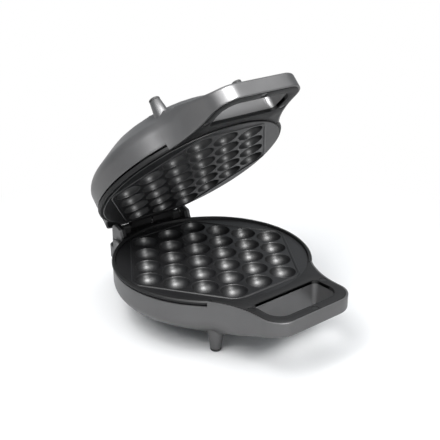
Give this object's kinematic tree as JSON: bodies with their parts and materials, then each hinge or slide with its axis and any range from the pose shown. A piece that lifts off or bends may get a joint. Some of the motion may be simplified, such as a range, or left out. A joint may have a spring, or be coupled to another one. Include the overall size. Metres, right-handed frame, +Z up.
{
  "type": "bubble waffle maker",
  "caption": "Electric bubble waffle iron, opened: two round non-stick plates of deep round cups in a grey clamshell with loop handles, rear hinge and short feet.",
  "frame": {"origin": "on the floor, at the middle of the opened object's bounding box", "axes": "+Z up, +Y from the handle towards the hinge, +X to the right seen from the handle side"},
  "size_m": [0.1944, 0.2748, 0.2409],
  "materials": {
    "plate_coating": "cast aluminium with a satin black non-stick coating",
    "screw_steel": "zinc plated",
    "sheet_steel": "plain sheet steel",
    "foot_rubber": "matte black",
    "black_plastic": "matte black heat-resistant plastic",
    "screw_black": "blackened steel",
    "element_steel": "dull steel tube",
    "sheet_aluminium": "bright sheet",
    "shell_paint": "satin metallic grey paint on moulded plastic",
    "white_ceramic": "glazed white",
    "fuse_sleeve": "woven white sleeve",
    "thermostat_case": "plain",
    "gland_rubber": "matte black",
    "pin_steel": "drawn steel wire",
    "lamp_glass": "clear",
    "lens_red": "clear red",
    "lens_green": "clear green"
  },
  "bodies": {
    "base": {"base_baking_plate": "plate_coating", "base_clamp_screws": "screw_steel", "base_element_clamp": "sheet_steel", "base_foot_pads": "foot_rubber", "base_frame": "black_plastic", "base_handle_screws": "screw_black", "base_heating_element": "element_steel", "base_plate_screws": "screw_steel", "base_reflector": "sheet_aluminium", "base_reflector_screws": "screw_steel", "base_shell": "shell_paint", "base_shell_screws": "screw_steel", "base_terminal_block": "white_ceramic", "base_thermal_fuse": "fuse_sleeve", "base_thermostat": "thermostat_case", "cord_gland": "gland_rubber", "hinge_pin": "pin_steel"},
    "lid": {"lid_baking_plate": "plate_coating", "lid_clamp_screws": "screw_steel", "lid_element_clamp": "sheet_steel", "lid_foot_pads": "foot_rubber", "lid_frame": "black_plastic", "lid_handle_screws": "screw_black", "lid_heating_element": "element_steel", "lid_neon_lamps": "lamp_glass", "lid_plate_screws": "screw_steel", "lid_power_lamp": "lens_red", "lid_ready_lamp": "lens_green", "lid_reflector": "sheet_aluminium", "lid_reflector_screws": "screw_steel", "lid_shell": "shell_paint", "lid_shell_screws": "screw_steel", "lid_terminal_block": "white_ceramic", "lid_thermostat": "thermostat_case"}
  },
  "joints": [
    {"name": "lid_hinge", "type": "hinge", "parent": "base", "child": "lid", "pos_m": [0, 0.11035, 0.06154], "axis": [-1, 0, 0], "range_deg": [-44.26, 50.74]}
  ]
}
